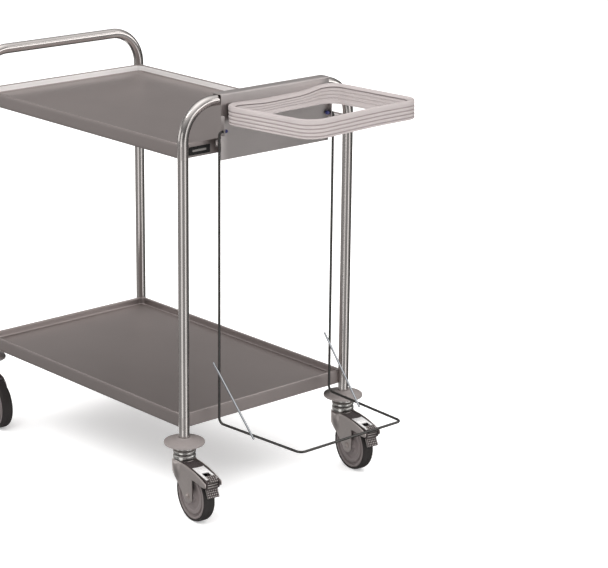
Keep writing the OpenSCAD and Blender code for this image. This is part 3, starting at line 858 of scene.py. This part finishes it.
def windowed_deck(lay, near_edge, length, half_width, thick, window):
    """Sheet laid by the move lay. near_edge(y) is where its upper end starts, and window is
    the start, end and half width of a hole."""
    corner_r = 2.3
    ys = [half_width * (1 - k / 5) for k in range(11)]
    far = fillet([(0, -half_width), (length, -half_width, corner_r),
                  (length, half_width, corner_r), (0, half_width)], 4, closed=False)
    outline = close_points([(near_edge(y), y) for y in ys] + far[1:-1], 4)
    start, end, half_hole = window
    mid = (start + end) / 2
    hole = []
    for x, y in outline:
        k = 1 / max(abs(x - mid) / (end - mid), abs(y) / half_hole)
        hole.append((mid + (x - mid) * k, y * k))
    return holed_prism(outline[::-1], hole[::-1], -thick, 0).moved(lay)


def knurled(lay, length, half_width, thick, rows, columns):
    """Pad laid by the move lay, whose upper face carries rows of small pyramids."""
    height = 1.4
    nx, ny = rows * 4, columns * 4

    def top(i, j):
        wave_a = 1 - abs((i / nx * rows) % 1 - 0.5) * 2
        wave_b = 1 - abs((j / ny * columns) % 1 - 0.5) * 2
        return height * min(1.0, 1.6 * min(wave_a, wave_b))

    def place(i, j, h):
        return lay(length * i / nx, half_width * (2 * j / ny - 1), h)

    shape = Shape()
    shape.verts = [place(i, j, top(i, j)) for i in range(nx + 1) for j in range(ny + 1)]
    for i in range(nx):
        for j in range(ny):
            a = i * (ny + 1) + j
            lift = sum(top(i + p, j + q) for p in (0, 1) for q in (0, 1)) / 4
            # Faces low in the valleys take the third material, which the pedal makes dark as painted
            # shade
            shape.face([a, a + ny + 1, a + ny + 2, a + 1], None, 2 if lift < 0.5 * height else 1)
    border = [(i, 0) for i in range(nx)] + [(nx, j) for j in range(ny)]
    border += [(i, ny) for i in range(nx, 0, -1)] + [(0, j) for j in range(ny, 0, -1)]
    start, n = len(shape.verts), len(border)
    shape.verts += [place(i, j, -thick) for i, j in border]
    edge = [i * (ny + 1) + j for i, j in border]
    for k in range(n):
        m = (k + 1) % n
        shape.face([edge[k], start + k, start + m, edge[m]], None, 1)
    shape.face(reversed(range(start, start + n)), None, 1)
    return shape


def pedal(corner):
    """Total-lock pedal: deck with a window, side rails and ears, ribbed spine, and two knurled
    treads. The deck is pale as a painted reflection; the rails, ears, spine and knurl valleys are dark
    as painted shade."""
    start, high, slope = 58, 133.2, 8
    front_r = 62  # the deck's upper end is cut round the swivel axis
    # The deck takes the pale first material, a painted reflection
    shape = windowed_deck(on_slope((start, high), slope),
                          lambda y: math.sqrt(front_r ** 2 - y ** 2) - start,
                          length=65, half_width=14.9, thick=2.4, window=(32.5, 51.5, 9))

    def add(outline, mid, half, slot):
        """An (x, z) outline made into a part that reaches half to each side of y = mid."""
        shape.add(prism(outline, mid - half, mid + half, slot=slot), lambda x, z, y: (x, -y, z))

    reach = 63
    fall = reach * math.tan(math.radians(slope))
    rail = fillet([(start + 1, high - 1.3, 1.5), (start + 1, high - 4.4, 1),
                   (start + reach, high - 4.4 - fall), (start + reach, high - 1.3 - fall, 1.5)], 3)
    ear = fillet([(80, 128), (80, 121, 2), (90, 113, 4), (104, 108, 3), (121, 100, 2),
                  (127, 104, 2), (127, 120.5, 2), (121, 123)], 4)
    # The rails, ears and spine take the third material, the dark of painted shade
    for side in (-1, 1):
        add(rail, side * 16.05, 1.1, 2)
        add(ear, side * 16, 1.2, 2)
    add(fillet([(116.5, 124), (119, 98, 1), (123.5, 98, 1), (123.5, 124)], 3), 0, 14.4, 2)
    for k in range(3):
        low = 116 - 6 * k
        add(fillet([(122, low + 3), (122, low), (125.4, low + 0.6, 0.5), (125.4, low + 2.4, 0.5)], 2),
            0, 13.5, 1)
    shape.add(knurled(on_slope((117.2, 131.6), 38), 19.0, 10.5, 5.2, 4, 4))
    shape.add(knurled(on_slope((120.2, 99.6), 62), 21, 15, 4.6, 4, 6))
    add(fillet([(110.5, 126.4), (118, 131.8, 1.2), (121, 127, 1), (117, 122)], 3), 0, 10, 1)
    caster_piece(corner, "lock_pedal", "brake_pedal", shape, [DECK_PAINTED_REFLECTION, DULL, PAINTED_SHADE], "bright_zinc",
                 bevel=0.35, sharp=35)


# -------- bag holder

EAR_SIDES = 64


def hook_plate():
    """Bent sheet over the handle with ears and tabs for the support wire."""
    out_x = tube_r + plate_gap + plate_t
    in_x = tube_r + plate_gap
    top = plate_hi.z
    low = plate_lo.z
    lip_z = top - lip_drop
    seat = 0.03  # keeps the faces of joined parts from lying in one plane
    sheet = fillet([
        (out_x, low), (out_x, top, 3.2), (-out_x, top, 3.2), (-out_x, lip_z),
        (-in_x, lip_z), (-in_x, top - plate_t, 1.2), (in_x, top - plate_t, 1.2), (in_x, low)], 8)
    shape = Shape()
    stations = [holder_y - plate_w / 2 + plate_w * k / 16 for k in range(17)]
    rings = [[(front_x + x, y, z) for x, z in sheet] for y in stations]
    shape.add(rings_shape(rings, cap="flat", across=True))
    for side in (-1, 1):
        y1 = holder_y + side * plate_w / 2
        y0 = y1 - side * plate_t
        hole = [(pivot_x + x, pivot_z + z) for x, z in circle(pivot_hole_r, EAR_SIDES)]
        ear = holed_prism(ear_outline(out_x), hole, min(y0, y1), max(y0, y1))
        shape.add(ear, lambda x, z, y: (front_x + x, y + side * seat, z))
        y_mid = holder_y + side * tab_y
        tab = rounded_loop(y_mid - tab_half, tab_low, y_mid + tab_half, tab_high, 3, 5, 3)
        shape.add(prism(tab, seat, plate_t - seat), lambda y, z, x: (front_x + in_x + x, y, z))
    build("holder_plate", shape, PLATE, "plate_sheet", "hook_plate", bevel=0.35, sharp=30)


def ear_outline(out_x):
    """Outline of a side ear, sampled by angle about the wire's hole."""
    x0, x1, z0, z1 = out_x - 1.4, plate_hi.x - front_x, pivot_z - 10, pivot_z + 36
    edge = [Vector((x - pivot_x, z - pivot_z)) for x, z in rounded_loop(x0, z0, x1, z1, 3.5, 10, 10)]
    out = []
    for ray in circle(1, EAR_SIDES):
        ray = Vector(ray)
        best = 0
        for i, q in enumerate(edge):
            p = edge[i - 1]
            d = q - p
            cross = ray.x * d.y - ray.y * d.x
            if abs(cross) < 1e-9:
                continue
            s = (p.x * d.y - p.y * d.x) / cross
            t = (p.x * ray.y - p.y * ray.x) / cross
            if s > 0 and -1e-6 <= t <= 1 + 1e-6:
                best = max(best, s)
        out.append((pivot_x + ray.x * best, pivot_z + ray.y * best))
    return out


RIB_COUNT = 4
START_POINTS = 4
GROOVE_POINTS = 6
TOP_POINTS = 9


def ring_profile():
    """Section of the bag ring: (inset from the outer wall, height). Outer wall with a tall top
    band over rounded ribs, a thin lip, and an inner wall of four stepped ribs."""
    grooves = [5.4, 13.4, 21.6, 30.0]
    depth, width = 1.7, 1.5
    outer = [(2.2, 0), (0.8, 0.3), (0.25, 1.2), (0.1, 2.6)]
    for z in grooves:
        outer += [(0.05, z - 2.6), (0.5, z - width), (depth, z - 0.35), (depth, z + 0.35),
                  (0.5, z + width), (0.05, z + 2.6)]
    top = [(0, 36.5), (0.1, 39.5), (0.6, 41.6), (1.8, 42.8), (3.4, 43), (6, 42.5), (10.5, 41.0),
           (12.8, 39.6), (13.6, 38.0)]
    inner = []
    step_in, step_z = 1.2, 7.6
    for k in range(RIB_COUNT):
        n0, z0 = 13.6 + k * step_in, 36.4 - k * step_z
        cut = 2.6 if k == 0 else 1.6
        inner += [(n0 + 0.1 - cut, z0 + 0.9), (n0 + 0.1 - cut, z0 - 0.3), (n0 + 0.3, z0 - 1.1),
                  (n0, z0 - 2.8), (n0 + 0.2, z0 - step_z + 2.6), (n0 + 0.7, z0 - step_z + 1.6)]
    inner += [(18.4, 4.0), (18.1, 2.0), (17, 0.8), (15, 0.2), (12, 0)]
    return outer + top + inner


def ring_shading(count):
    """1 for the strips of the ring's section in the outer grooves and in the groove under the lip,
    which take a darker colour as painted shade, and 0 for the others."""
    shaded = [0] * count
    for k in range(RIB_COUNT):
        groove = START_POINTS + GROOVE_POINTS * k
        shaded[groove + 1:groove + 4] = [1, 1, 1]
    lip = START_POINTS + GROOVE_POINTS * RIB_COUNT + TOP_POINTS
    shaded[lip:lip + 2] = [1, 1]
    return shaded


def ring_shift(x, y, z, inset):
    """How far the soft ring leaves its true shape, along X and up. Its back side rolls inwards
    and down between the corners, the far back corner stands up, and the near side hangs."""
    back = smooth((ring_len / 2 - x) / 60)
    middle = back * smooth((y + 150) / 130) * smooth((170 - y) / 130)
    near = back * smooth((-y - 60) / 110)
    far = smooth((ring_len - x) / ring_len) * smooth((y - 70) / 95)
    height = smooth(z / ring_h)
    dip = 5.5 * middle * (1 + 0.8 * min(1.0, inset / 12))
    hang = 4.5 * smooth((60 - y) / (ring_w / 2 + 60))
    ahead = 3.0 * near + 4.0 * smooth((x - 100) / 150)
    return ahead, 4.6 * far * (0.35 + 0.65 * height) - dip * height - hang


def bag_ring():
    place = turned(-ring_tilt, "Y", (ring_lo.x, holder_y, ring_low_z))
    rings = []
    for n, z in ring_profile():
        r = ring_corner_r - 0.55 * n
        loop = rounded_loop(n, n - ring_w / 2, ring_len - n, ring_w / 2 - n, r, 20, 24)
        shifted = [(x, y, ring_shift(x, y, z, n)) for x, y in loop]
        rings.append([place(x + dx, y, z + dz) for x, y, (dx, dz) in shifted])
    shape = rings_shape(rings, joined=True)
    shape.faces = [f[::-1] for f in shape.faces]
    shape.uvs = [u[::-1] for u in shape.uvs]
    sides = len(rings[0])
    # Strips in the grooves take the darker second material, painted shade
    for strip, shaded in enumerate(ring_shading(len(rings))):
        shape.slots[strip * sides:(strip + 1) * sides] = [shaded] * sides
    build("bag_collar", shape, [RING, GROOVE_SHADE], "ring_rubber", "bag_ring", sharp=60)


def round_pads(name, node, from_high, material, section):
    """Two turned pads at the ends of the node's box. section(r, t) gives the radius and depth
    of each point, seen from the box's high or low X side."""
    lo, hi = box(node)
    r, t = (hi.z - lo.z) / 2, hi.x - lo.x
    seat, way = (hi.x, -1) if from_high else (lo.x, 1)
    pad = lathe(fillet(section(r, t), 3), 40)
    shape = Shape()
    for y in (lo.y + r, hi.y - r):
        shape.add(pad, lambda a, b, h: (seat + way * h, y + a, (lo.z + hi.z) / 2 + b))
    build(name, shape, material, "dark_rubber", node)


# -------- bag support

def side_line(side):
    """Centre line of one side of the support wire, from its pivot end to mid front."""
    y = side * wire_half
    elbow, foot, corner = 8, 14, 15  # bend radii
    line = [(0, side * pivot_tip_y, pivot_z), (0, side * (pivot_tip_y + 7), pivot_z)]
    line += arc_points((0, y - side * elbow, pivot_z - elbow), (0, y - side * elbow, pivot_z),
                       (-side, 0, 0), 90, 8)
    line += between(line[-1], (0, y, loop_z + foot), 10)
    c, s = math.cos(loop_taper), math.sin(loop_taper)
    ahead = Vector((c, -side * s, 0))
    centre = Vector((0, y, loop_z + foot)) + ahead * foot
    line += arc_points(centre, centre - ahead * foot, (side * s, c, 0), -90, 10)
    tangent = corner * math.tan((math.pi / 2 - loop_taper) / 2)
    start = Vector((loop_reach, side * loop_front_w / 2, loop_z)) - ahead * tangent
    line += between(line[-1], start, 8)
    line += arc_points((loop_reach - corner, side * (loop_front_w / 2 - tangent), loop_z), start,
                       (0, 0, -side), math.degrees(math.pi / 2 - loop_taper), 10)
    return line


def support_wire():
    right, left = side_line(-1), side_line(1)
    path = right + between(right[-1], left[-1], 6) + left[::-1]
    shift = Vector((front_x + pivot_x, holder_y, 0))
    shape = sweep([Vector(p) + shift for p in path], wire_r)
    build("bag_support_rod", shape, WIRE, "wire_steel", "support_wire")


def brace(side, name, node):
    """Straight rod with chamfered ends, from the upright to the loop, beside the wire."""
    gap = wire_r + brace_r
    reach = brace_foot[0] - pivot_x
    upright_y = side * wire_half - gap
    foot_y = side * (wire_half - reach * math.tan(loop_taper)) - gap
    slope = (foot_y - upright_y) / reach
    top_y = upright_y + slope * (brace_top[0] - pivot_x)
    top = Vector((front_x + brace_top[0], holder_y + top_y, brace_top[1]))
    foot = Vector((front_x + brace_foot[0], holder_y + foot_y, brace_foot[1]))
    length = (foot - top).length
    along = (foot - top).normalized()
    across = Vector((0, 1, 0))
    up = along.cross(across).normalized()
    chamfer = 0.6
    stations = [(0, brace_r - chamfer), (chamfer, brace_r)]
    stations += [(length * k / 8, brace_r) for k in range(1, 8)]
    stations += [(length - chamfer, brace_r), (length, brace_r - chamfer)]
    rings = [[tuple(top + along * at + across * a + up * b) for a, b in circle(r, 24)][::-1]
             for at, r in stations]
    build(name, rings_shape(rings, across=True), BRIGHT, "bright_zinc", node)


def caps():
    """Push-on plastic caps on the wire's pivot ends."""
    shape = Shape()
    lo, hi = box("wire_caps")
    r = (hi.z - lo.z) / 2
    mid_x, mid_z = (lo.x + hi.x) / 2, (lo.z + hi.z) / 2
    bore = wire_r + 0.05
    cap = lathe(fillet([(bore, 0), (r, 0, 0.5), (r, 3, 1), (r - 0.8, 7.2, 1.6), (0.01, 8), (0.01, 6),
                        (bore, 6)], 4), 40)
    for side, tip in ((-1, lo.y), (1, hi.y)):
        shape.add(cap, lambda a, b, h: (mid_x + a, tip - side * h, mid_z + b * side))
    build("rod_end_caps", shape, CAP, "cap_plastic", "wire_caps")


# -------- stage

CAMERA_PLACE = (3.9134, -3.2026, 1.9729)
CAMERA_AZIMUTH = 47.70
CAMERA_ELEVATION = 16.81
CAMERA_ROLL = 0.68
CAMERA_LENS = 128.74
FLOOR_R = 30
FLOOR_GLOW = 0.35
SEEN_WHITE = 0.96

# Brightness of the sky as reflections see it, from straight down (0) to straight up (1)
SKY = [(0.0, 0.08), (0.20, 0.12), (0.32, 0.34), (0.40, 0.34), (0.46, 0.13), (0.65, 0.19),
       (0.80, 0.50), (0.92, 1.05), (1.0, 1.8)]
# Bright patches in it: azimuth, half width, lowest and highest height, added brightness
PATCHES = [
    (7, 7, None, 0.40, 1.1), (-74, 13, None, 0.20, 0.85), (-118, 6, 0.76, 0.86, 5.0),
    (52, 10, 0.40, 0.56, 1.4), (20, 36, -0.92, -0.46, 0.45), (42, 24, 0.02, 0.26, 2.0),
    (-138, 20, -0.10, 0.25, 1.0), (166, 8, None, 0.0, 0.9),
]
PATCH_SOFT = 6
# The darker side: azimuth, half width, softness, heights, and how soft its top is
DARK_PATCH = (77, 24, 20, None, 0.05, 0.3)
DARK_SIDE = 0.30
KEY_PLACE = (1.6, -3.2, 3.0)
KEY_SIZE = 1.6
KEY_POWER = 24
# Fill lights: azimuth, elevation, power
FILLS = [(-55, 50, 105), (35, 45, 45), (125, 45, 40), (-145, 45, 50)]
FILL_SIZE = 3.4
FILL_DISTANCE = 5


def camera():
    a, e, r = (math.radians(v) for v in (CAMERA_AZIMUTH, CAMERA_ELEVATION, CAMERA_ROLL))
    ahead = Vector((-math.sin(a) * math.cos(e), math.cos(a) * math.cos(e), -math.sin(e)))
    right = Vector((math.cos(a), math.sin(a), 0))
    up = right.cross(ahead)
    right, up = right * math.cos(r) + up * math.sin(r), up * math.cos(r) - right * math.sin(r)
    data = bpy.data.cameras.new("camera")
    data.lens, data.sensor_width = CAMERA_LENS, 36
    data.clip_start, data.clip_end = 0.1, 100
    made = bpy.data.objects.new("camera", data)
    made.matrix_world = Matrix.Translation(CAMERA_PLACE) @ Matrix(
        (right, up, -ahead)).transposed().to_4x4()
    bpy.context.scene.collection.objects.link(made)
    bpy.context.scene.camera = made


def floor():
    """Wide round sheet of white paper that glows a little, so its shadows stay faint."""
    edge = circle(FLOOR_R, 96)
    mesh = bpy.data.meshes.new("floor")
    mesh.from_pydata([(x, y, 0) for x, y in edge], [], [range(len(edge))])
    piece = bpy.data.objects.new("floor", mesh)
    material, tree = new_material("floor_paper")
    place = put(tree, "TexCoord").outputs["Object"]
    soft = noise(tree, place, 1.3, 2.0)
    base = ramp(tree, soft, [(0.3, (0.90, 0.90, 0.90, 1)), (0.7, (0.93, 0.93, 0.93, 1))])
    finish_material(tree, {"Base Color": base, "Roughness": 0.9, "Specular IOR Level": 0.1,
                           "Emission Color": (1, 1, 1, 1), "Emission Strength": FLOOR_GLOW})
    mesh.materials.append(material)
    bpy.context.scene.collection.objects.link(piece)
    piece.visible_glossy = False


def studio():
    """White studio. The camera sees plain white behind the floor; reflections see a graded
    sky with a darker side and bright patches."""
    world = bpy.data.worlds.new("studio")
    world.use_nodes = True
    tree = world.node_tree
    tree.nodes.clear()
    way = put(tree, "TexCoord").outputs["Generated"]
    height = put(tree, "SeparateXYZ", {"Vector": way}).outputs["Z"]
    flat = put(tree, "VectorMath", {0: way, 1: (1, 1, 0)}, operation="MULTIPLY")
    level = put(tree, "VectorMath", {0: flat.outputs[0]}, operation="NORMALIZE").outputs[0]

    def band(value, start, end, low=0.0, high=1.0):
        return spread(tree, value, low, high, start, end, "SMOOTHSTEP")

    def times(a, b):
        return maths(tree, "MULTIPLY", a, b)

    def patch(azimuth, wide, soft, low, high, edge=0.06):
        """1 inside a window of the sky, given by its azimuth, half width, softness and heights."""
        a = math.radians(azimuth)
        facing = put(tree, "VectorMath", {0: level, 1: (math.cos(a), math.sin(a), 0)},
                     operation="DOT_PRODUCT").outputs["Value"]
        within = band(facing, math.cos(math.radians(wide + soft)), math.cos(math.radians(wide)))
        if low is not None:
            within = times(within, band(height, low - edge, low))
        return times(within, band(height, high + edge, high))

    total = ramp(tree, maths(tree, "ADD", 0.5, times(height, 0.5)), SKY)
    total = times(total, band(patch(*DARK_PATCH), 0, 1, 1.0, DARK_SIDE))
    for azimuth, wide, low, high, power in PATCHES:
        lit = times(patch(azimuth, wide, PATCH_SOFT, low, high), power)
        total = maths(tree, "ADD", total, lit)
    seen = put(tree, "Background", {"Color": (1, 1, 1, 1), "Strength": SEEN_WHITE})
    light = put(tree, "Background", {"Color": (1, 0.985, 0.975, 1), "Strength": total})
    path = put(tree, "LightPath").outputs["Is Camera Ray"]
    mix = put(tree, "MixShader", {0: path, 1: light.outputs[0], 2: seen.outputs[0]})
    out = put(tree, "OutputWorld")
    tree.links.new(mix.outputs[0], out.inputs["Surface"])
    bpy.context.scene.world = world


def softbox(name, place, aim, size, power):
    """Square area light, seen neither by the camera nor in reflections."""
    data = bpy.data.lights.new(name, "AREA")
    data.shape, data.size, data.energy = "SQUARE", size, power
    lamp = bpy.data.objects.new(name, data)
    lamp.location = place
    lamp.rotation_euler = (Vector(aim) - Vector(place)).to_track_quat("-Z", "Y").to_euler()
    lamp.visible_camera = False
    lamp.visible_glossy = False
    bpy.context.scene.collection.objects.link(lamp)


# -------- make everything

camera()
floor()
studio()
softbox("key_light", KEY_PLACE, (0, 0, 0.5), KEY_SIZE, KEY_POWER)
for i, (azimuth, elevation, power) in enumerate(FILLS):
    az, el = math.radians(azimuth), math.radians(elevation)
    way = Vector((math.cos(az) * math.cos(el), math.sin(az) * math.cos(el), math.sin(el)))
    softbox(f"fill_light_{i}", way * FILL_DISTANCE, (0, 0, 0.3), FILL_SIZE, power)
bpy.context.scene.view_settings.view_transform = "Standard"

end_frame("front_handle_frame", front_x, "front_frame")
end_frame("rear_handle_frame", rear_x, "rear_frame")
shelf("upper_tray", "upper_shelf", WALL_PAINTED_HIGHLIGHT)
shelf("lower_tray", "lower_shelf", SHELF)
stiffener("upper_channel", "upper_stiffener")
stiffener("lower_channel", "lower_stiffener")
badge()
for corner in CORNERS:
    bumper(corner)
    swivel_head(corner)
    fork(corner)
    axle(corner)
    wheel(corner)
    tyre(corner)
for corner in BRAKED:
    pedal(corner)
hook_plate()
bag_ring()
round_pads("plate_buffers", "holder_buffers", True, RUBBER, lambda r, t: [
    (0.01, 0), (r - 0.6, 0, 0.3), (r, 2, 1), (r, t - 3, 1.5), (r - 2, t, 1), (0.01, t)])
round_pads("wire_pads", "wire_stops", False, PAD, lambda r, t: [
    (0.01, 0), (r, 0), (r, t * 0.6, 0.4), (r - 1, t, 0.5), (0.01, t)])
support_wire()
brace(-1, "right_brace_rod", "right_brace")
brace(1, "left_brace_rod", "left_brace")
caps()

# CAD nodes that are drawn as they are, with a material
KEPT = {
    "_stem": (ZINC, "zinc_steel"), "_swivel_balls": (BRIGHT, "bright_zinc"),
    "_bearings": (ZINC, "zinc_steel"), "_pedal_pin": (ZINC, "zinc_steel"),
    "ring_core": (ZINC, "zinc_steel"),
}
for node_name, node in frame["nodes"].items():
    for ending, (material, slot_name) in KEPT.items():
        if node_name.endswith(ending):
            node.data.materials.clear()
            node.data.materials.append(material)
